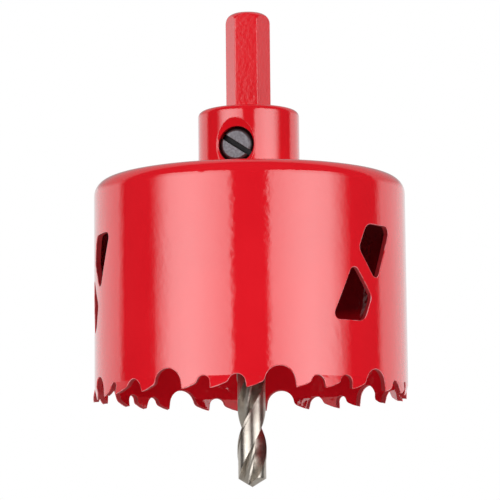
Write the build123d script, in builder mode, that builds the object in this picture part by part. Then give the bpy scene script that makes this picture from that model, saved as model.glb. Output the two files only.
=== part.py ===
from build123d import *
import os
from math import asin, cos, degrees, radians, sin, sqrt, tan

# Hole saw with its arbor and pilot drill, millimetres, +Z up the axis towards the shank.
# The origin is on the axis at the top of the collar, where the hexagon starts.
# Azimuth 0 looks along -Y and grows towards +X.

# toothed band
SAW_D = 68.0
BAND_WALL = 1.2
BAND_HEIGHT = 43.4  # tooth tips to the upper edge of the band

# back plate
CAP_RISE = 4.4  # top of the cap over the upper edge of the band
CAP_SHOULDER_R = 3.3
CAP_LOCATING_DEPTH = 1.4  # how far the cap reaches down inside the band
CAP_BORE_D = 16.0
CAP_FIT_GAP = 0.05

# teeth stand in groups of three, unevenly spread so that the saw doesn't chatter
GROUP_SPANS = (41.9, 41.0, 40.4, 38.9, 38.7, 40.3, 40.0, 40.0, 38.8)
FIRST_TOOTH_AZ = -66.9
GULLET_SHARE = (0.267, 0.302, 0.431)  # of a group: short, middle and long pitch
GULLET_DEPTH = (2.65, 2.85, 4.5)
GULLET_R = (1.55, 1.85, 3.3)
TOOTH_LAND = 1.3
LAND_RISE = 0.35
BACK_ANGLE = 22.0
BACK_BLEND_R = 1.2  # hollow between the back of a tooth and the gullet
RAKE_ANGLE = 8.0
BEND_HEIGHT = 2.5
TOOTH_SET = (0.0, 0.6, -0.5)  # straight, outward and inward
FOOT_GAP = 0.3
CUT_REACH = 6.0

# knock-out windows: three pairs round the band, the upper one a half turn of the lower
WINDOW_PAIR_AZ = (-76.8, 45.4, 164.3)
WINDOW_PAIR_HEIGHT = 24.65
WINDOW_OFFSET = (3.7, 4.1)
WINDOW_OUTLINE = ((-5.69, -6.35), (3.23, -6.35), (5.68, -0.8), (0.17, 6.35))
WINDOW_RADII = (1.4, 2.6, 2.0, 1.4)

# arbor
COLLAR_D = 22.2
COLLAR_HEIGHT = 15.4
COLLAR_EDGE_R = 1.2
HEX_FLATS = 8.5
HEX_LENGTH = 21.9
HEX_AZ = -5.7
HEX_END_D = 6.7
HEX_END_HEIGHT = 2.2
HEX_ROOT_R = 0.6
SPIGOT_PROUD = 1.0
PRESS_GAP = 0.02

# clamping screw
SCREW_D = 8.0
SCREW_AZ = -16.0
SCREW_DROP = 8.7  # below the top of the collar
SCREW_FACE = 10.2  # outer end of the screw from the axis
SCREW_END_D = 5.9
SCREW_POINT_D = 5.5
SCREW_SLOT_W = 1.2
SCREW_SLOT_DEPTH = 2.4
SCREW_SLOT_TILT = -34.0
THREAD_GAP = 0.03
SPOT_START = 7.65  # apex of the spot facing round the tapped hole, from the axis
POINT_ANGLE = 118.0

# pilot drill
DRILL_D = 6.35
DRILL_TIP_DROP = 19.0  # under the tooth tips
DRILL_LENGTH = 80.0
FLUTE_LENGTH = 46.0
FLUTE_RUNOUT = 8.0
FLUTE_LEAD = 34.0
FLUTE_START_AZ = 12.5
FLUTE_ANGLE = 92.0
FLUTE_ROOT_R = 1.1
FLUTE_OVERCUT = 0.45  # root corner of the flute past the axis
DRILL_WEB = 1.2
DRILL_RELIEF = 0.14
MARGIN_ANGLE = 11.0
DRILL_FLAT = 2.55  # flat under the screw, from the axis
DRILL_FLAT_LENGTH = 11.0
BORE_GAP = 0.03
BORE_ROOM = 0.6  # free depth over the end of the drill

SAW_R = SAW_D / 2
COLLAR_R = COLLAR_D / 2
DRILL_R = DRILL_D / 2
CAP_BORE_R = CAP_BORE_D / 2
BAND_INNER_R = SAW_R - BAND_WALL
Z_CAP = -COLLAR_HEIGHT
Z_BAND = Z_CAP - CAP_RISE
Z_TIPS = Z_BAND - BAND_HEIGHT
Z_BEND = Z_TIPS + BEND_HEIGHT
Z_CAP_INSIDE = Z_BAND - CAP_LOCATING_DEPTH
Z_SCREW = -SCREW_DROP
Z_DRILL_TIP = Z_TIPS - DRILL_TIP_DROP
Z_FLUTE_END = Z_DRILL_TIP + FLUTE_LENGTH
Z_DRILL_END = Z_DRILL_TIP + DRILL_LENGTH

os.makedirs("parts", exist_ok=True)


def wall_plane(az, distance, z):
    """Plane facing outwards at an azimuth, x along the wall and y up."""
    a = radians(az)
    return Plane(
        origin=(distance * sin(a), -distance * cos(a), z),
        x_dir=(cos(a), sin(a), 0),
        z_dir=(sin(a), -cos(a), 0),
    )


def section_plane(az):
    """Half plane through the axis at an azimuth, x outwards and y up."""
    return Plane.XZ.rotated((0, 0, az - 90))


def polar(radius, angle):
    return (radius * cos(radians(angle)), radius * sin(radians(angle)))


def tooth_tips():
    """Azimuth of every tooth tip and the place of the tooth in its group."""
    tips = []
    group_start = FIRST_TOOTH_AZ
    for span in GROUP_SPANS:
        az = group_start
        for place, share in enumerate(GULLET_SHARE):
            tips.append((az, place))
            az += span * share
        group_start += span
    return tips


def gullet(half, depth, radius):
    """Outline points of a gullet: land, back of the tooth, hollow, round bottom, face of the next tooth."""
    rake = radians(RAKE_ANGLE)
    back = radians(BACK_ANGLE)
    centre_y = depth - radius
    centre_x = half - centre_y * tan(rake) - radius / cos(rake)
    land = (-half + TOOTH_LAND, LAND_RISE)
    # the centre of the hollow keeps its distance from the back and from the round bottom
    reach = radius + BACK_BLEND_R
    dx = land[0] - BACK_BLEND_R * sin(back) - centre_x
    dy = land[1] + BACK_BLEND_R * cos(back) - centre_y
    along = dx * cos(back) + dy * sin(back)
    run = -along - sqrt(along**2 - dx**2 - dy**2 + reach**2)
    leave = (land[0] + run * cos(back), land[1] + run * sin(back))
    hollow = (dx + run * cos(back), dy + run * sin(back))
    join = (centre_x + hollow[0] * radius / reach, centre_y + hollow[1] * radius / reach)
    meet = (centre_x + radius * cos(rake), centre_y + radius * sin(rake))
    return land, leave, join, (centre_x, depth), meet


TIPS = tooth_tips()
GULLETS = []
for i, (tip_az, place) in enumerate(TIPS):
    pitch = (TIPS[(i + 1) % len(TIPS)][0] - tip_az) % 360
    half_width = SAW_R * sin(radians(pitch / 2))
    points = gullet(half_width, GULLET_DEPTH[place], GULLET_R[place])
    crown_az = tip_az + pitch / 2 + degrees(asin(points[3][0] / SAW_R))
    GULLETS.append((tip_az + pitch / 2, half_width, points, crown_az))

# toothed band: a ring whose foot is swapped for a bent one at each set tooth, then the gullets
with BuildPart() as saw_band:
    with BuildSketch(Plane.XY.offset(Z_TIPS)):
        Circle(SAW_R)
        Circle(BAND_INNER_R, mode=Mode.SUBTRACT)
    extrude(amount=BAND_HEIGHT)
    for i, (tip_az, place) in enumerate(TIPS):
        lean = TOOTH_SET[place]
        if lean == 0:
            continue
        foot_start = GULLETS[i - 1][3] + FOOT_GAP
        foot_sweep = (GULLETS[i][3] - FOOT_GAP - foot_start) % 360
        with BuildSketch(section_plane(foot_start)):
            with BuildLine():
                Polyline(
                    (SAW_R + BAND_WALL, Z_BEND),
                    (SAW_R + BAND_WALL, Z_TIPS - BAND_WALL),
                    (BAND_INNER_R - BAND_WALL, Z_TIPS - BAND_WALL),
                    (BAND_INNER_R - BAND_WALL, Z_BEND),
                    close=True,
                )
            make_face()
        revolve(axis=Axis.Z, revolution_arc=foot_sweep, clean=False, mode=Mode.SUBTRACT)
        with BuildSketch(section_plane(foot_start)):
            with BuildLine():
                Polyline(
                    (SAW_R, Z_BEND),
                    (SAW_R + lean, Z_TIPS),
                    (BAND_INNER_R + lean, Z_TIPS),
                    (BAND_INNER_R, Z_BEND),
                    close=True,
                )
            make_face()
        revolve(axis=Axis.Z, revolution_arc=foot_sweep, clean=False)
    for middle_az, half_width, (land, leave, join, crown, meet), crown_az in GULLETS:
        with BuildSketch(wall_plane(middle_az, SAW_R - CUT_REACH, Z_TIPS)):
            with BuildLine():
                Polyline((-half_width, -CUT_REACH), (-half_width, 0), land, leave)
                TangentArc(leave, join, tangent=(cos(radians(BACK_ANGLE)), sin(radians(BACK_ANGLE))))
                ThreePointArc(join, crown, meet)
                Polyline(meet, (half_width, 0), (half_width, -CUT_REACH), (-half_width, -CUT_REACH))
            make_face()
        extrude(amount=2 * CUT_REACH, mode=Mode.SUBTRACT, clean=False)
    for pair_az in WINDOW_PAIR_AZ:
        for turn in (1, -1):
            window_az = pair_az - turn * degrees(WINDOW_OFFSET[0] / SAW_R)
            window_z = Z_TIPS + WINDOW_PAIR_HEIGHT - turn * WINDOW_OFFSET[1]
            outline = [(turn * x, turn * y) for x, y in WINDOW_OUTLINE]
            with BuildSketch(wall_plane(window_az, SAW_R - CUT_REACH, window_z)):
                with BuildLine():
                    FilletPolyline(*outline, radius=WINDOW_RADII, close=True)
                make_face()
            extrude(amount=2 * CUT_REACH, mode=Mode.SUBTRACT, clean=False)
saw_band.part.label = "saw_band"
export_step(saw_band.part, "parts/saw_band.step")

# back plate: a disc with a rounded shoulder and a step that sits inside the band
with BuildPart() as end_cap:
    with BuildSketch(Plane.XZ) as cap_section:
        with BuildLine():
            Polyline(
                (CAP_BORE_R, Z_CAP),
                (SAW_R, Z_CAP),
                (SAW_R, Z_BAND),
                (BAND_INNER_R - CAP_FIT_GAP, Z_BAND),
                (BAND_INNER_R - CAP_FIT_GAP, Z_CAP_INSIDE),
                (CAP_BORE_R, Z_CAP_INSIDE),
                close=True,
            )
        make_face()
        fillet(cap_section.vertices().group_by(Axis.Y)[-1].sort_by(Axis.X)[-1], CAP_SHOULDER_R)
    revolve(axis=Axis.Z)
end_cap.part.label = "end_cap"
export_step(end_cap.part, "parts/end_cap.step")

# arbor: hexagon, collar and riveted spigot turned in one piece
with BuildPart() as arbor:
    corner_r = HEX_FLATS / 2 / cos(radians(30))
    shank_corner_z = HEX_LENGTH - HEX_END_HEIGHT
    with BuildSketch(Plane.XY.rotated((0, 0, HEX_AZ))):
        RegularPolygon(HEX_FLATS / 2, 6, major_radius=False)
    extrude(amount=HEX_LENGTH)
    with BuildSketch(Plane.XZ):
        with BuildLine():
            Polyline((0, shank_corner_z), (0, 0), (corner_r, 0), (corner_r, shank_corner_z))
            TangentArc((corner_r, shank_corner_z), (HEX_END_D / 2, HEX_LENGTH), tangent=(0, 1))
            Polyline((HEX_END_D / 2, HEX_LENGTH), (0, HEX_LENGTH), (0, shank_corner_z))
        make_face()
    revolve(axis=Axis.Z, mode=Mode.INTERSECT)
    with BuildSketch(Plane.XY):
        Circle(COLLAR_R)
    extrude(amount=-COLLAR_HEIGHT)
    top_edges = arbor.edges().filter_by_position(Axis.Z, -0.001, 0.001)
    fillet(top_edges.filter_by(GeomType.CIRCLE), COLLAR_EDGE_R)
    root_edges = arbor.edges().filter_by_position(Axis.Z, -0.001, 0.001).filter_by(GeomType.LINE)
    fillet(root_edges, HEX_ROOT_R)
    with BuildSketch(Plane.XY.offset(Z_CAP)):
        Circle(CAP_BORE_R - PRESS_GAP)
    extrude(amount=Z_CAP_INSIDE - SPIGOT_PROUD - Z_CAP)
    with BuildSketch(Plane.XY.offset(Z_DRILL_END + BORE_ROOM)):
        Circle(DRILL_R + BORE_GAP)
    extrude(amount=Z_CAP_INSIDE - SPIGOT_PROUD - Z_DRILL_END - BORE_ROOM, mode=Mode.SUBTRACT)
    with BuildSketch(wall_plane(SCREW_AZ, 0, Z_SCREW)):
        Circle(SCREW_D / 2)
    extrude(amount=COLLAR_R, mode=Mode.SUBTRACT)
    with Locations(wall_plane(SCREW_AZ, SPOT_START, Z_SCREW)):
        spot_depth = COLLAR_R - SPOT_START
        spot_r = spot_depth * tan(radians(POINT_ANGLE / 2))
        Cone(0, spot_r, spot_depth, align=(Align.CENTER, Align.CENTER, Align.MIN), mode=Mode.SUBTRACT)
arbor.part.label = "arbor"
export_step(arbor.part, "parts/arbor.step")

# clamping screw: headless, slotted, pressed on the flat of the drill
with BuildPart() as set_screw:
    with BuildSketch(wall_plane(SCREW_AZ, DRILL_FLAT, Z_SCREW)):
        Circle(SCREW_D / 2 - THREAD_GAP)
    extrude(amount=SCREW_FACE - DRILL_FLAT)
    screw_axis = Axis((0, 0, Z_SCREW), wall_plane(SCREW_AZ, 0, Z_SCREW).z_dir)
    point_edge, end_edge = set_screw.edges().filter_by(GeomType.CIRCLE).sort_by(screw_axis)
    chamfer(point_edge, (SCREW_D - SCREW_POINT_D) / 2 - THREAD_GAP)
    chamfer(end_edge, (SCREW_D - SCREW_END_D) / 2 - THREAD_GAP)
    with BuildSketch(wall_plane(SCREW_AZ, SCREW_FACE - SCREW_SLOT_DEPTH, Z_SCREW)):
        Rectangle(2 * SCREW_D, SCREW_SLOT_W, rotation=SCREW_SLOT_TILT)
    extrude(amount=SCREW_SLOT_DEPTH, mode=Mode.SUBTRACT)
set_screw.part.label = "set_screw"
export_step(set_screw.part, "parts/set_screw.step")

# cross section of the drill: two lands with margins, and two flutes ahead of the lips
lip_angle = -degrees(asin(DRILL_WEB / DRILL_D))
heel_angle = lip_angle - FLUTE_ANGLE
with BuildSketch(Plane.XY.offset(Z_DRILL_TIP).rotated((0, 0, FLUTE_START_AZ - 90))) as drill_section:
    Circle(DRILL_R - DRILL_RELIEF)
    for turn in (0, 180):
        margin_start = polar(DRILL_R, lip_angle + turn)
        margin_middle = polar(DRILL_R, lip_angle + MARGIN_ANGLE / 2 + turn)
        margin_end = polar(DRILL_R, lip_angle + MARGIN_ANGLE + turn)
        with BuildLine():
            Polyline(margin_end, (0, 0), margin_start)
            ThreePointArc(margin_start, margin_middle, margin_end)
        make_face()
    for side in (1, -1):
        root = (-FLUTE_OVERCUT, -DRILL_WEB / 2)
        heel = polar(DRILL_R, heel_angle)
        past_heel = (2 * heel[0] - root[0], 2 * heel[1] - root[1])
        outline = [(DRILL_D, root[1]), root, past_heel, (DRILL_D, past_heel[1])]
        with BuildLine():
            FilletPolyline(
                *[(side * x, side * y) for x, y in outline],
                radius=(0, FLUTE_ROOT_R, 0, 0),
                close=True,
            )
        make_face(mode=Mode.SUBTRACT)

# pilot drill: twisted body, flutes that run out into the shank, ground point and screw flat
with BuildPart() as pilot_drill:
    add(
        Solid.extrude_linear_with_rotation(
            drill_section.sketch.face(),
            center=(0, 0, Z_DRILL_TIP),
            normal=(0, 0, FLUTE_LENGTH),
            angle=360 * FLUTE_LENGTH / FLUTE_LEAD,
        )
    )
    point_height = DRILL_D / tan(radians(POINT_ANGLE / 2))
    with BuildSketch(Plane.XZ):
        with BuildLine():
            Polyline(
                (0, Z_DRILL_TIP),
                (DRILL_D, Z_DRILL_TIP + point_height),
                (DRILL_D, Z_FLUTE_END),
                (0, Z_FLUTE_END),
                close=True,
            )
        make_face()
    revolve(axis=Axis.Z, mode=Mode.INTERSECT)
    with BuildSketch(Plane.XZ):
        with BuildLine():
            Line((0, Z_FLUTE_END - FLUTE_RUNOUT), (DRILL_WEB / 2, Z_FLUTE_END - FLUTE_RUNOUT))
            TangentArc((DRILL_WEB / 2, Z_FLUTE_END - FLUTE_RUNOUT), (DRILL_R, Z_FLUTE_END), tangent=(0, 1))
            Polyline(
                (DRILL_R, Z_FLUTE_END),
                (DRILL_R, Z_DRILL_END),
                (0, Z_DRILL_END),
                (0, Z_FLUTE_END - FLUTE_RUNOUT),
            )
        make_face()
    revolve(axis=Axis.Z)
    with BuildSketch(wall_plane(SCREW_AZ, DRILL_FLAT, Z_SCREW)):
        Rectangle(DRILL_D, DRILL_FLAT_LENGTH)
    extrude(amount=DRILL_R, mode=Mode.SUBTRACT)
pilot_drill.part.label = "pilot_drill"
export_step(pilot_drill.part, "parts/pilot_drill.step")
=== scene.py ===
from math import cos, pi, radians, sin, tan

import bpy
from mathutils import Matrix, Vector


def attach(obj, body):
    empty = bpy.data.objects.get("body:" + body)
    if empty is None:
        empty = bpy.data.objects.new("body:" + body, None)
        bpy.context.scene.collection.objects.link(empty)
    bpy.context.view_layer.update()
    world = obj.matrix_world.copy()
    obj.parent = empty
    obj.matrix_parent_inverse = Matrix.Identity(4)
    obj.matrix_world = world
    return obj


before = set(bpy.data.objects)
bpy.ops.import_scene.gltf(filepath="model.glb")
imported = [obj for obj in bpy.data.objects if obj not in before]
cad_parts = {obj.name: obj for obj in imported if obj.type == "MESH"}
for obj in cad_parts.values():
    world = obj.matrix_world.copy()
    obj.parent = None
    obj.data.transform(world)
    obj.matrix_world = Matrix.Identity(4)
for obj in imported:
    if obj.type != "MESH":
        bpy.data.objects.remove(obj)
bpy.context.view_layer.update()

MM = 0.001
PER_MM = (1000.0, 1000.0, 1000.0)  # turns places on a piece from metres into millimetres
FLAT = (1.0, 1.0, 0.0)  # takes the height out of a place
WHITE = "#FFFFFF"
BEVEL_SAMPLES = 6

# Camera, in millimetres and degrees.
LENS = 199.4
SENSOR = 36.0
CAMERA_DISTANCE = 600.0 * MM
CAMERA_LEVEL = -109.5 * MM
CAMERA_PITCH = 7.5
CAMERA_ROLL = -0.6
CAMERA_REACH = 20.0  # metres

# Lamps: azimuths in degrees from the front, elevations in degrees from the middle of the cup.
AXIS_MIDDLE = -46.0 * MM
LAMP_DISTANCE = 1.2  # metres
LAMP_LOW, LAMP_HIGH = -3.5, 29.0
FRONT_LAMP_EDGES = (10.5, 78.5)
FRONT_RADIANCE = 0.98
FRONT_SPREAD = 104.0
FRONT_FALL = (0.1, 0.34)  # share of the width over which the inner and the outer side fade
BACK_LAMP_EDGES = (109.0, 169.0)
BACK_RADIANCE = 2.4
BACK_SPREAD = 180.0

# Surround: light of the room on matt surfaces, and what a gloss mirrors.
ROOM_LOW, ROOM_HIGH = 0.22, 0.7  # at the horizon and overhead
ROOM_HEIGHTS = (-0.2, 1.0)  # sines of the elevations between which it brightens
ROOM_GLOSS, BACKDROP_GLOSS = 0.03, 0.8
BACKDROP_FACING = (0.0, 0.98, 0.2)
BACKDROP_EDGE = (0.28, 0.4)  # cosines of the angle off its middle where it ends and is full
BACKDROP_TOP = (0.18, 0.3)  # sines of the elevations between which it dims
ABOVE_BACKDROP = 0.45

# Board under the saw, in metres.
FLOOR_DROP = 150.0 * MM
FLOOR_PALE = "#F4F4F2"
FLOOR_GLOSS = "#BDBCB9"
BOARD_RADIUS = 0.28
BOARD_CORNERS = 96
BOARD_FADE = (0.1, 0.27)  # from the axis, between which it melts into the white surround
BOARD_FIBRES = 60.0  # clumps of fibre to a metre
BOARD_ROUGHNESS = (0.85, 1.0)

# Red lacquer. Sizes and levels are in millimetres, FACING and TURN are cosines, and a SPAN is the
# stretch of a noise that is used.
LACQUER_RED = "#E61724"
LACQUER_DEEP = "#DF1220"
LACQUER_THIN_AND_HIGHLIGHT = "#EC4A55"
LACQUER_INSIDE_SHADE = "#6A0811"
LACQUER_CUT_SHADE = "#A00916"
LACQUER_BEAD_HIGHLIGHT = "#F08A90"
LACQUER_IOR = 1.5
LACQUER_COAT_IOR = 1.6
SEAM_LEVEL = -19.8  # where the welded and ground back plate meets the band
SEAM_REACH = (0.45, 0.55)  # no edge shows this near to it
UNDER_SEAM = (0.5, 1.0)  # the band proper starts this far below it
EDGE_TURN = (0.97, 0.72)  # turn of the rounded normal that shows as an edge
# share of the paler edge colour, partly thin lacquer and partly a painted highlight
EDGE_WEAR_AND_HIGHLIGHT = 0.25
DRIFT_SIZE = 18.0
DRIFT_SPAN = (0.35, 0.68)
UNEVEN_SPAN = (0.35, 0.65)
UNEVEN_LEAST = 0.4
RIPPLE_SIZE = 4.0
RUN_GAIN = 5.0  # height of the runs inside the rim over that of the ripple
INWARD_FACING = (-0.3, -0.7)
DOWN_FACING = (-0.9, -0.98)
ROOF_LEVELS = (-28.0, -26.0)
INSIDE_SHADE_LEVELS = (-47.0, -41.0)  # between which the painted shade inside the cup sets in, full higher up
CUT_FACING = (0.6, 0.3)
TOP_FACING = (0.95, 0.995)
DRY_ROUGHNESS = 0.75
DULL_SPAN = (0.3, 0.75)
DULL_GAIN = 1.6
COAT_HAZE = 0.4  # roughness of the coat as a share of the haze

# Bead of lacquer along the cut edges.
BEAD_R = 0.11 * MM
BEAD_TOP = -21.0 * MM
BEAD_MERGE = 0.004 * MM
BEAD_SIDES = 1  # bevel resolution
BEAD_HIGHLIGHT_SIZE = 1.6
BEAD_HIGHLIGHT_SPAN = (0.35, 0.6)
BEAD_ROUGHNESS = 0.14
BEAD_COAT_ROUGHNESS = 0.05
WALL_FACING = 0.9  # the outer wall faces outwards by more than this
CUT_FACE_FACING = 0.75  # and a cut face by less than this

# Black oxide on the grub screw, in millimetres.
SCREW_AZ = -16.0
SCREW_FACE = 10.2  # from the axis of the saw
SCREW_SHADE_DEPTHS = (0.1, 0.5)
OXIDE_BLACK = "#727075"
OXIDE_DARK_AND_SHADE = "#1B1A1C"
OXIDE_RUBBED = "#8C8B8F"
OXIDE_METALLIC = 0.75
OXIDE_EDGE = 0.15
OXIDE_EDGE_TURN = (0.98, 0.75)
OXIDE_GRAIN_SIZE = 0.45
OXIDE_GRAIN_HEIGHT = 0.012
OXIDE_GRAIN_STRENGTH = 0.4
OXIDE_MOTTLE_SPAN = (0.35, 0.7)
OXIDE_MOTTLE = 0.35
OXIDE_PATCH_SIZE = 1.8
OXIDE_PATCH_SPAN = (0.3, 0.65)
OXIDE_ROUGH_SPAN = (0.3, 0.7)
OXIDE_ROUGHNESS = (0.3, 0.5)

# Ground steel of the drill, in millimetres.
STEEL_WARM = "#CFC8BE"
STEEL_SHADE = "#A39A90"
STEEL_CLOUD_SIZE = 3.5
STEEL_CLOUD_SPAN = (0.4, 0.75)
STEEL_LINES = (300.0, 300.0, 5200.0)  # to a metre: across the axis, and finer along it
STEEL_LINE_SPAN = (0.3, 0.7)
STEEL_ROUGHNESS = (0.27, 0.34)
STEEL_LINE_HEIGHT = 0.0005
STEEL_LINE_STRENGTH = 0.5


def linear(code):
    """Linear red, green, blue and alpha of an sRGB hex colour."""
    channels = [int(code[i:i + 2], 16) / 255 for i in (1, 3, 5)]
    return tuple(
        c / 12.92 if c <= 0.04045 else ((c + 0.055) / 1.055) ** 2.4 for c in channels) + (1.0,)


def new_material(name):
    """Empty material with its node tree."""
    made = bpy.data.materials.new(name)
    made.use_nodes = True
    made.node_tree.nodes.clear()
    return made, made.node_tree


def add(tree, kind, settings=None, **inputs):
    """Adds a node, sets its properties and sockets, and links those given another's output.

    A socket is named with _ for each space, or iN for the Nth where names repeat.
    """
    made = tree.nodes.new("ShaderNode" + kind)
    for key, value in (settings or {}).items():
        setattr(made, key, value)
    for key, value in inputs.items():
        numbered = key[0] == "i" and key[1:].isdigit()
        socket = made.inputs[int(key[1:]) if numbered else key.replace("_", " ")]
        if isinstance(value, bpy.types.NodeSocket):
            tree.links.new(value, socket)
        else:
            socket.default_value = value
    return made


def lacquer_places(tree, place, level, normal):
    """Where the coat differs: painted shade inside the cup and on cut faces, matt cut faces and
    flat tops, and runs.
    """
    under = add(
        tree, "MapRange", Value=level, From_Min=SEAM_LEVEL - UNDER_SEAM[0],
        From_Max=SEAM_LEVEL - UNDER_SEAM[1]).outputs[0]
    radial = add(tree, "VectorMath", {"operation": "NORMALIZE"}, i0=add(
        tree, "VectorMath", {"operation": "MULTIPLY"}, i0=place, i1=FLAT).outputs[0]).outputs[0]
    facing = add(
        tree, "VectorMath", {"operation": "DOT_PRODUCT"}, i0=normal, i1=radial).outputs["Value"]
    inward = add(
        tree, "MapRange", Value=facing, From_Min=INWARD_FACING[0],
        From_Max=INWARD_FACING[1]).outputs[0]
    upright = add(tree, "SeparateXYZ", Vector=normal).outputs["Z"]
    # painted shade: the side facing the axis is darkened higher up inside the cup, and so is the
    # underside of the back plate there
    down = add(
        tree, "MapRange", Value=upright, From_Min=DOWN_FACING[0], From_Max=DOWN_FACING[1])
    near_roof = add(
        tree, "MapRange", Value=level, From_Min=ROOF_LEVELS[0], From_Max=ROOF_LEVELS[1])
    roof = add(
        tree, "Math", {"operation": "MULTIPLY"}, i0=down.outputs[0], i1=near_roof.outputs[0])
    high = add(
        tree, "MapRange", Value=level, From_Min=INSIDE_SHADE_LEVELS[0], From_Max=INSIDE_SHADE_LEVELS[1])
    wall = add(tree, "Math", {"operation": "MULTIPLY"}, i0=inward, i1=high.outputs[0])
    hollow_shade = add(tree, "Math", {"operation": "MULTIPLY"}, i0=under, i1=add(
        tree, "Math", {"operation": "MAXIMUM"}, i0=wall.outputs[0],
        i1=roof.outputs[0]).outputs[0]).outputs[0]
    # painted shade: the cut faces of the gullets and windows get a darker red
    sideways = add(tree, "Math", {"operation": "ABSOLUTE"}, i0=facing).outputs[0]
    cut = add(tree, "Math", {"operation": "MULTIPLY"}, i0=under, i1=add(
        tree, "MapRange", Value=sideways, From_Min=CUT_FACING[0],
        From_Max=CUT_FACING[1]).outputs[0]).outputs[0]
    flat_top = add(
        tree, "MapRange", Value=upright, From_Min=TOP_FACING[0], From_Max=TOP_FACING[1])
    # it dries matt on the cut faces, and from overspray on the flat tops of back plate and collar
    dry = add(
        tree, "Math", {"operation": "MAXIMUM"}, i0=cut, i1=flat_top.outputs[0]).outputs[0]
    # it hangs in runs inside the rim, where it drains to the teeth
    runs = add(
        tree, "MapRange", Value=add(
            tree, "Math", {"operation": "MULTIPLY"}, i0=under, i1=inward).outputs[0],
        To_Min=1 / RUN_GAIN, To_Max=1.0).outputs[0]
    return hollow_shade, cut, dry, runs


def red_lacquer(name, edge, wave, grain_size, grain, haze):
    """Stoved gloss lacquer on steel: a wet, rippled skin, paler on sharp edges, partly as thin
    lacquer and partly as a painted highlight, and darkened as painted shade inside the cup and on
    its cut faces.

    edge is the rounding of its edges, wave the height of the long ripple, grain_size and grain
    the length and height of the short one, in millimetres, and haze its roughness.
    """
    made, tree = new_material(name)
    place = add(tree, "TexCoord").outputs["Object"]
    per_mm = add(tree, "Mapping", Vector=place, Scale=PER_MM).outputs[0]
    level = add(tree, "SeparateXYZ", Vector=per_mm).outputs["Z"]
    normal = add(tree, "NewGeometry").outputs["Normal"]
    hollow_shade, cut, dry, runs = lacquer_places(tree, place, level, normal)

    # it runs over the ground weld between band and back plate, so no edge shows there
    from_seam = add(tree, "Math", {"operation": "ABSOLUTE"}, i0=add(
        tree, "Math", {"operation": "SUBTRACT"}, i0=level, i1=SEAM_LEVEL).outputs[0]).outputs[0]
    off_seam = add(
        tree, "MapRange", Value=from_seam, From_Min=SEAM_REACH[0], From_Max=SEAM_REACH[1])
    rounded = add(tree, "Bevel", {"samples": BEVEL_SAMPLES}, Radius=edge * MM).outputs[0]
    edge_normal = add(
        tree, "Mix", {"data_type": "VECTOR"}, i0=off_seam.outputs[0], i4=normal,
        i5=rounded).outputs[1]
    along = add(tree, "VectorMath", {"operation": "DOT_PRODUCT"}, i0=edge_normal, i1=normal)
    at_edge = add(
        tree, "MapRange", Value=along.outputs["Value"], From_Min=EDGE_TURN[0],
        From_Max=EDGE_TURN[1])

    drift = add(
        tree, "TexNoise", Vector=per_mm, Scale=1 / DRIFT_SIZE, Detail=2.0, Roughness=0.5)
    tone = add(
        tree, "Mix", {"data_type": "RGBA"}, i0=add(
            tree, "MapRange", Value=drift.outputs[0], From_Min=DRIFT_SPAN[0],
            From_Max=DRIFT_SPAN[1]).outputs[0],
        i6=linear(LACQUER_RED), i7=linear(LACQUER_DEEP))
    # paler on its sharp edges: partly thin lacquer, partly a painted highlight along the rounded
    # edge
    worn_and_highlit = add(
        tree, "Mix", {"data_type": "RGBA"}, i0=add(
            tree, "Math", {"operation": "MULTIPLY"}, i0=at_edge.outputs[0],
            i1=EDGE_WEAR_AND_HIGHLIGHT).outputs[0],
        i6=tone.outputs[2], i7=linear(LACQUER_THIN_AND_HIGHLIGHT))
    # painted shade: darker red on the cut faces
    on_cuts = add(
        tree, "Mix", {"data_type": "RGBA"}, i0=cut, i6=worn_and_highlit.outputs[2], i7=linear(LACQUER_CUT_SHADE))
    # painted shade: darker red inside the cup, higher up and under the back plate
    colour = add(
        tree, "Mix", {"data_type": "RGBA"}, i0=hollow_shade, i6=on_cuts.outputs[2],
        i7=linear(LACQUER_INSIDE_SHADE))

    ripple = add(
        tree, "TexNoise", Vector=per_mm, Scale=1 / RIPPLE_SIZE, Detail=2.0, Roughness=0.45)
    rippled = add(
        tree, "Bump", Strength=runs, Distance=RUN_GAIN * wave * MM, Height=ripple.outputs[0],
        Normal=edge_normal)
    uneven = add(
        tree, "MapRange", Value=drift.outputs[0], From_Min=UNEVEN_SPAN[0],
        From_Max=UNEVEN_SPAN[1], To_Min=UNEVEN_LEAST, To_Max=1.0)
    peel = add(
        tree, "TexNoise", Vector=per_mm, Scale=1 / grain_size, Detail=2.0,
        Roughness=0.5).outputs[0]
    skin = add(
        tree, "Bump", Strength=uneven.outputs[0], Distance=grain * MM, Height=peel,
        Normal=rippled.outputs[0]).outputs[0]

    dull = add(
        tree, "MapRange", Value=peel, From_Min=DULL_SPAN[0], From_Max=DULL_SPAN[1], To_Min=haze,
        To_Max=DULL_GAIN * haze)
    duller = add(
        tree, "Mix", {"data_type": "FLOAT"}, i0=dry, i2=dull.outputs[0], i3=DRY_ROUGHNESS)
    clear = add(tree, "MapRange", Value=dry, To_Min=1.0, To_Max=0.0)
    shader = add(
        tree, "BsdfPrincipled", Base_Color=colour.outputs[2], Roughness=duller.outputs[0],
        IOR=LACQUER_IOR, Coat_Weight=clear.outputs[0], Coat_Roughness=COAT_HAZE * haze,
        Coat_IOR=LACQUER_COAT_IOR, Normal=skin, Coat_Normal=skin)
    add(tree, "OutputMaterial", Surface=shader.outputs[0])
    return made


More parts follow.
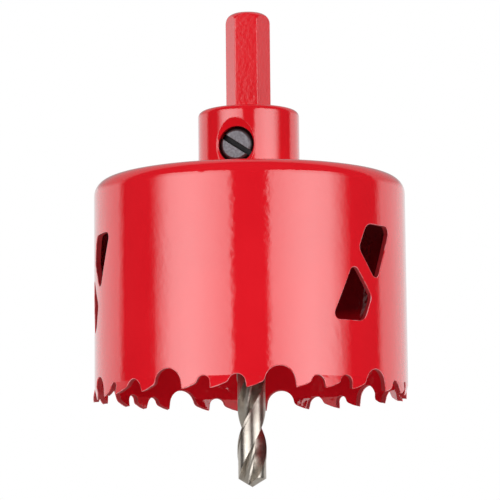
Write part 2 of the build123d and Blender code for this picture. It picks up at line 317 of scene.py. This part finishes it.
def lacquer_bead():
    """The same lacquer where it draws back into a rounded, glassy bead along a cut edge, patched
    with paler pink as a painted highlight.
    """
    made, tree = new_material("red_lacquer_bead")
    place = add(tree, "TexCoord").outputs["Object"]
    per_mm = add(tree, "Mapping", Vector=place, Scale=PER_MM).outputs[0]
    highlight_patches = add(tree, "TexNoise", Vector=per_mm, Scale=1 / BEAD_HIGHLIGHT_SIZE, Detail=2.0)
    # painted highlight: patches of paler pink along the bead
    tone = add(
        tree, "Mix", {"data_type": "RGBA"}, i0=add(
            tree, "MapRange", Value=highlight_patches.outputs[0], From_Min=BEAD_HIGHLIGHT_SPAN[0],
            From_Max=BEAD_HIGHLIGHT_SPAN[1]).outputs[0],
        i6=linear(LACQUER_RED), i7=linear(LACQUER_BEAD_HIGHLIGHT))
    shader = add(
        tree, "BsdfPrincipled", Base_Color=tone.outputs[2], Roughness=BEAD_ROUGHNESS,
        IOR=LACQUER_IOR, Coat_Weight=1.0, Coat_Roughness=BEAD_COAT_ROUGHNESS,
        Coat_IOR=LACQUER_COAT_IOR)
    add(tree, "OutputMaterial", Surface=shader.outputs[0])
    return made


def black_oxide():
    """Blacked screw steel: oiled dark grey, mottled, rubbed lighter on its corners, and darkened
    as painted shade below its end face.
    """
    made, tree = new_material("black_oxide")
    place = add(tree, "TexCoord").outputs["Object"]
    per_mm = add(tree, "Mapping", Vector=place, Scale=PER_MM).outputs[0]
    edge_normal = add(tree, "Bevel", {"samples": BEVEL_SAMPLES}, Radius=OXIDE_EDGE * MM).outputs[0]
    true_normal = add(tree, "NewGeometry").outputs["True Normal"]
    along = add(
        tree, "VectorMath", {"operation": "DOT_PRODUCT"}, i0=edge_normal, i1=true_normal)
    at_edge = add(
        tree, "MapRange", Value=along.outputs["Value"], From_Min=OXIDE_EDGE_TURN[0],
        From_Max=OXIDE_EDGE_TURN[1])
    grain = add(
        tree, "TexNoise", Vector=per_mm, Scale=1 / OXIDE_GRAIN_SIZE, Detail=4.0,
        Roughness=0.65).outputs[0]
    patch = add(tree, "TexNoise", Vector=per_mm, Scale=1 / OXIDE_PATCH_SIZE, Detail=2.0)
    rub = add(
        tree, "Math", {"operation": "MULTIPLY", "use_clamp": True}, i0=at_edge.outputs[0],
        i1=add(
            tree, "MapRange", Value=patch.outputs[0], From_Min=OXIDE_PATCH_SPAN[0],
            From_Max=OXIDE_PATCH_SPAN[1]).outputs[0])
    # painted shade: what lies deeper than the end face, in the slot and down its sides in the
    # hole, is darkened
    outward = (sin(radians(SCREW_AZ)), -cos(radians(SCREW_AZ)), 0.0)
    reach = add(tree, "VectorMath", {"operation": "DOT_PRODUCT"}, i0=per_mm, i1=outward)
    slot_shade = add(
        tree, "MapRange", Value=reach.outputs["Value"], From_Min=SCREW_FACE - SCREW_SHADE_DEPTHS[0],
        From_Max=SCREW_FACE - SCREW_SHADE_DEPTHS[1])
    mottle = add(
        tree, "MapRange", Value=grain, From_Min=OXIDE_MOTTLE_SPAN[0],
        From_Max=OXIDE_MOTTLE_SPAN[1], To_Max=OXIDE_MOTTLE)
    # the random mottle and the painted shade below the end face share one dark colour
    mottle_and_shade = add(
        tree, "Math", {"operation": "MAXIMUM"}, i0=slot_shade.outputs[0], i1=mottle.outputs[0])
    bare = add(
        tree, "Mix", {"data_type": "RGBA"}, i0=rub.outputs[0], i6=linear(OXIDE_BLACK),
        i7=linear(OXIDE_RUBBED))
    tone = add(
        tree, "Mix", {"data_type": "RGBA"}, i0=mottle_and_shade.outputs[0], i6=bare.outputs[2],
        i7=linear(OXIDE_DARK_AND_SHADE))
    rough = add(
        tree, "MapRange", Value=grain, From_Min=OXIDE_ROUGH_SPAN[0],
        From_Max=OXIDE_ROUGH_SPAN[1], To_Min=OXIDE_ROUGHNESS[0], To_Max=OXIDE_ROUGHNESS[1])
    bump = add(
        tree, "Bump", Strength=OXIDE_GRAIN_STRENGTH, Distance=OXIDE_GRAIN_HEIGHT * MM,
        Height=grain, Normal=edge_normal)
    shader = add(
        tree, "BsdfPrincipled", Base_Color=tone.outputs[2], Metallic=OXIDE_METALLIC,
        Roughness=rough.outputs[0], Normal=bump.outputs[0])
    add(tree, "OutputMaterial", Surface=shader.outputs[0])
    return made


def ground_steel():
    """High speed steel, milled in the flutes and ground on the lands, with lines round it."""
    made, tree = new_material("ground_steel")
    place = add(tree, "TexCoord").outputs["Object"]
    per_mm = add(tree, "Mapping", Vector=place, Scale=PER_MM).outputs[0]
    # the real lines are some 0.02 mm apart, and are drawn coarser so that they show
    lines = add(tree, "Mapping", Vector=place, Scale=STEEL_LINES).outputs[0]
    grind = add(
        tree, "TexNoise", Vector=lines, Scale=1.0, Detail=3.0, Roughness=0.6).outputs[0]
    cloud = add(tree, "TexNoise", Vector=per_mm, Scale=1 / STEEL_CLOUD_SIZE, Detail=3.0)
    tone = add(
        tree, "Mix", {"data_type": "RGBA"}, i0=add(
            tree, "MapRange", Value=cloud.outputs[0], From_Min=STEEL_CLOUD_SPAN[0],
            From_Max=STEEL_CLOUD_SPAN[1]).outputs[0],
        i6=linear(STEEL_WARM), i7=linear(STEEL_SHADE))
    rough = add(
        tree, "MapRange", Value=grind, From_Min=STEEL_LINE_SPAN[0], From_Max=STEEL_LINE_SPAN[1],
        To_Min=STEEL_ROUGHNESS[0], To_Max=STEEL_ROUGHNESS[1])
    bump = add(
        tree, "Bump", Strength=STEEL_LINE_STRENGTH, Distance=STEEL_LINE_HEIGHT * MM,
        Height=grind)
    shader = add(
        tree, "BsdfPrincipled", Base_Color=tone.outputs[2], Metallic=1.0,
        Roughness=rough.outputs[0], Normal=bump.outputs[0])
    add(tree, "OutputMaterial", Surface=shader.outputs[0])
    return made


def paint(piece, material):
    """Gives a piece one material and no other."""
    piece.data.materials.clear()
    piece.data.materials.append(material)


def rim_bead():
    """Thin bead of lacquer along the outer edge of every gullet, tooth and window."""
    bpy.ops.object.select_all(action="DESELECT")
    bead = bpy.data.objects.new("rim_bead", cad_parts["saw_band"].data.copy())
    bpy.context.scene.collection.objects.link(bead)
    bead.select_set(True)
    bpy.context.view_layer.objects.active = bead
    bpy.ops.object.mode_set(mode="EDIT")
    bpy.ops.mesh.select_mode(type="EDGE")
    bpy.ops.mesh.select_all(action="SELECT")
    bpy.ops.mesh.remove_doubles(threshold=BEAD_MERGE)
    bpy.ops.mesh.select_all(action="DESELECT")
    bpy.ops.object.mode_set(mode="OBJECT")
    # only the lips stay, where the outer wall meets a cut face
    shape = bead.data
    beside = {edge.key: [] for edge in shape.edges}
    for face in shape.polygons:
        for key in face.edge_keys:
            beside[key].append(face.normal)
    for edge in shape.edges:
        middle = sum((shape.vertices[v].co for v in edge.vertices), Vector()) / 2
        radial = Vector((middle.x, middle.y, 0.0)).normalized()
        turns = sorted(normal.dot(radial) for normal in beside[edge.key])
        lip = len(turns) == 2 and abs(turns[0]) < CUT_FACE_FACING and turns[1] > WALL_FACING
        edge.select = not (lip and middle.z < BEAD_TOP)
    bpy.ops.object.mode_set(mode="EDIT")
    bpy.ops.mesh.delete(type="EDGE")
    bpy.ops.mesh.select_all(action="SELECT")
    bpy.ops.mesh.delete_loose(use_verts=True, use_edges=False, use_faces=False)
    bpy.ops.object.mode_set(mode="OBJECT")
    # its middle lies one radius under the outer wall, so that it adds nothing to the size
    for vert in bead.data.vertices:
        vert.co -= Vector((vert.co.x, vert.co.y, 0.0)).normalized() * BEAD_R
    bpy.ops.object.convert(target="CURVE")
    line = bpy.context.object.data
    line.bevel_depth = BEAD_R
    line.bevel_resolution = BEAD_SIDES
    line.use_fill_caps = True
    bpy.ops.object.convert(target="MESH")
    bead = bpy.context.object
    bead.name = "rim_bead"
    bpy.ops.object.shade_smooth()
    paint(bead, lacquer_bead())
    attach(bead, "root")


def white_board():
    """Matt white card, which melts into the white surround towards its edge."""
    made, tree = new_material("matt_white_board")
    place = add(tree, "TexCoord").outputs["Object"]
    fibre = add(tree, "TexNoise", Vector=place, Scale=BOARD_FIBRES, Detail=2.0)
    rough = add(
        tree, "MapRange", Value=fibre.outputs[0], To_Min=BOARD_ROUGHNESS[0],
        To_Max=BOARD_ROUGHNESS[1])
    rays = add(tree, "LightPath").outputs
    # bright metal and lacquer mirror it as a soft grey, so that their undersides keep their form
    board_colour = add(
        tree, "Mix", {"data_type": "RGBA"}, i0=rays["Is Glossy Ray"], i6=linear(FLOOR_PALE),
        i7=linear(FLOOR_GLOSS))
    card = add(
        tree, "BsdfPrincipled", Base_Color=board_colour.outputs[2], Roughness=rough.outputs[0],
        Specular_IOR_Level=0.0)
    away = add(tree, "VectorMath", {"operation": "LENGTH"}, i0=add(
        tree, "VectorMath", {"operation": "MULTIPLY"}, i0=place, i1=FLAT).outputs[0])
    fade = add(
        tree, "MapRange", {"interpolation_type": "SMOOTHSTEP"}, Value=away.outputs["Value"],
        From_Min=BOARD_FADE[0], From_Max=BOARD_FADE[1])
    melt = add(
        tree, "Math", {"operation": "MULTIPLY"}, i0=fade.outputs[0], i1=rays["Is Camera Ray"])
    white = add(tree, "Emission", Color=linear(WHITE), Strength=1.0)
    shader = add(
        tree, "MixShader", i0=melt.outputs[0], i1=card.outputs[0], i2=white.outputs[0])
    add(tree, "OutputMaterial", Surface=shader.outputs[0])
    return made


def studio_floor():
    """Wide pale board under the saw."""
    bpy.ops.object.select_all(action="DESELECT")
    bpy.ops.mesh.primitive_circle_add(
        vertices=BOARD_CORNERS, radius=BOARD_RADIUS, fill_type="NGON",
        location=(0, 0, -FLOOR_DROP))
    board = bpy.context.object
    board.name = "studio_floor"
    board.data.transform(board.matrix_world)
    board.matrix_world = Matrix.Identity(4)
    paint(board, white_board())


def softbox(name, from_az, to_az, radiance, spread, fall):
    """Rectangular lamp that spans two azimuths as seen from the saw, facing its axis.

    With fall, its two upright edges fade over those shares of its width; without, no gloss
    shows it.
    """
    middle = radians((from_az + to_az) / 2)
    width = 2 * LAMP_DISTANCE * tan(radians(abs(to_az - from_az) / 2))
    low, high = (LAMP_DISTANCE * tan(radians(e)) for e in (LAMP_LOW, LAMP_HIGH))
    lamp = bpy.data.lights.new(name, "AREA")
    lamp.shape = "RECTANGLE"
    lamp.size = width
    lamp.size_y = high - low
    lamp.energy = radiance * pi * width * (high - low)
    lamp.spread = radians(spread)
    holder = bpy.data.objects.new(name, lamp)
    bpy.context.scene.collection.objects.link(holder)
    holder.location = (
        LAMP_DISTANCE * sin(middle), -LAMP_DISTANCE * cos(middle),
        AXIS_MIDDLE + (high + low) / 2)
    holder.rotation_euler = (radians(90), 0, middle)
    holder.visible_camera = False
    holder.visible_glossy = fall is not None
    if fall is None:
        return
    lamp.use_nodes = True
    tree = lamp.node_tree
    tree.nodes.clear()
    across = add(
        tree, "SeparateXYZ", Vector=add(tree, "NewGeometry").outputs["Parametric"]).outputs["X"]
    start_fall, end_fall = fall if to_az > from_az else fall[::-1]
    rise = add(
        tree, "MapRange", {"interpolation_type": "SMOOTHSTEP"}, Value=across, From_Min=0.0,
        From_Max=start_fall)
    sink = add(
        tree, "MapRange", {"interpolation_type": "SMOOTHSTEP"}, Value=across, From_Min=1.0,
        From_Max=1.0 - end_fall)
    level = add(tree, "Math", {"operation": "MULTIPLY"}, i0=rise.outputs[0], i1=sink.outputs[0])
    glow = add(tree, "Emission", Color=linear(WHITE), Strength=level.outputs[0])
    add(tree, "OutputLight", Surface=glow.outputs[0])


def white_surround():
    """World that the camera sees as white; a gloss sees a backdrop behind the saw."""
    world = bpy.data.worlds.new("white_surround")
    bpy.context.scene.world = world
    world.use_nodes = True
    tree = world.node_tree
    tree.nodes.clear()
    direction = add(tree, "TexCoord").outputs["Generated"]
    height = add(tree, "SeparateXYZ", Vector=direction).outputs["Z"]
    # the room on the camera's side of the backdrop is unlit
    behind = add(
        tree, "VectorMath", {"operation": "DOT_PRODUCT"}, i0=direction, i1=BACKDROP_FACING)
    below_top = add(
        tree, "MapRange", Value=height, From_Min=BACKDROP_TOP[1], From_Max=BACKDROP_TOP[0],
        To_Min=ABOVE_BACKDROP, To_Max=1.0)
    on_backdrop = add(
        tree, "Math", {"operation": "MULTIPLY"}, i0=below_top.outputs[0], i1=add(
            tree, "MapRange", Value=behind.outputs["Value"], From_Min=BACKDROP_EDGE[0],
            From_Max=BACKDROP_EDGE[1]).outputs[0])
    backdrop = add(
        tree, "MapRange", Value=on_backdrop.outputs[0], To_Min=ROOM_GLOSS,
        To_Max=BACKDROP_GLOSS)
    overhead = add(
        tree, "MapRange", Value=height, From_Min=ROOM_HEIGHTS[0], From_Max=ROOM_HEIGHTS[1],
        To_Min=ROOM_LOW, To_Max=ROOM_HIGH)
    rays = add(tree, "LightPath").outputs
    glossy = add(
        tree, "Mix", {"data_type": "FLOAT"}, i0=rays["Is Glossy Ray"], i2=overhead.outputs[0],
        i3=backdrop.outputs[0])
    seen = add(
        tree, "Math", {"operation": "MAXIMUM"}, i0=rays["Is Camera Ray"],
        i1=rays["Is Transmission Ray"])
    level = add(
        tree, "Mix", {"data_type": "FLOAT"}, i0=seen.outputs[0], i2=glossy.outputs[0], i3=1.0)
    sky = add(tree, "Background", Color=linear(WHITE), Strength=level.outputs[0])
    add(tree, "OutputWorld", Surface=sky.outputs[0])


def studio_light():
    """Two pairs of softboxes with dark gaps between them, and a white surround."""
    for side, word in ((1, "right"), (-1, "left")):
        front = [side * edge for edge in FRONT_LAMP_EDGES]
        back = [side * edge for edge in BACK_LAMP_EDGES]
        softbox("softbox_front_" + word, *front, FRONT_RADIANCE, FRONT_SPREAD, FRONT_FALL)
        softbox("softbox_back_" + word, *back, BACK_RADIANCE, BACK_SPREAD, None)
    white_surround()


def studio_camera():
    """Long lens, a little below the cup and looking up at it."""
    lens = bpy.data.cameras.new("camera")
    lens.lens = LENS
    lens.sensor_width = SENSOR
    lens.clip_end = CAMERA_REACH
    camera = bpy.data.objects.new("camera", lens)
    bpy.context.scene.collection.objects.link(camera)
    camera.matrix_world = (
        Matrix.Translation((0, -CAMERA_DISTANCE, CAMERA_LEVEL))
        @ Matrix.Rotation(radians(90 + CAMERA_PITCH), 4, "X")
        @ Matrix.Rotation(radians(CAMERA_ROLL), 4, "Z"))
    bpy.context.scene.camera = camera


CUP_RED = red_lacquer(
    "red_lacquer_cup", edge=0.14, wave=0.035, grain_size=1.1, grain=0.028, haze=0.06)
ARBOR_RED = red_lacquer(
    "red_lacquer_arbor", edge=0.4, wave=0.005, grain_size=0.8, grain=0.022, haze=0.09)
FINISHES = {
    "saw_band": CUP_RED,
    "end_cap": CUP_RED,
    "arbor": ARBOR_RED,
    "set_screw": black_oxide(),
    "pilot_drill": ground_steel(),
}
for node_name, finish in FINISHES.items():
    paint(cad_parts[node_name], finish)
rim_bead()
studio_floor()
studio_light()
studio_camera()
bpy.context.scene.view_settings.view_transform = "Standard"

bpy.context.view_layer.update()
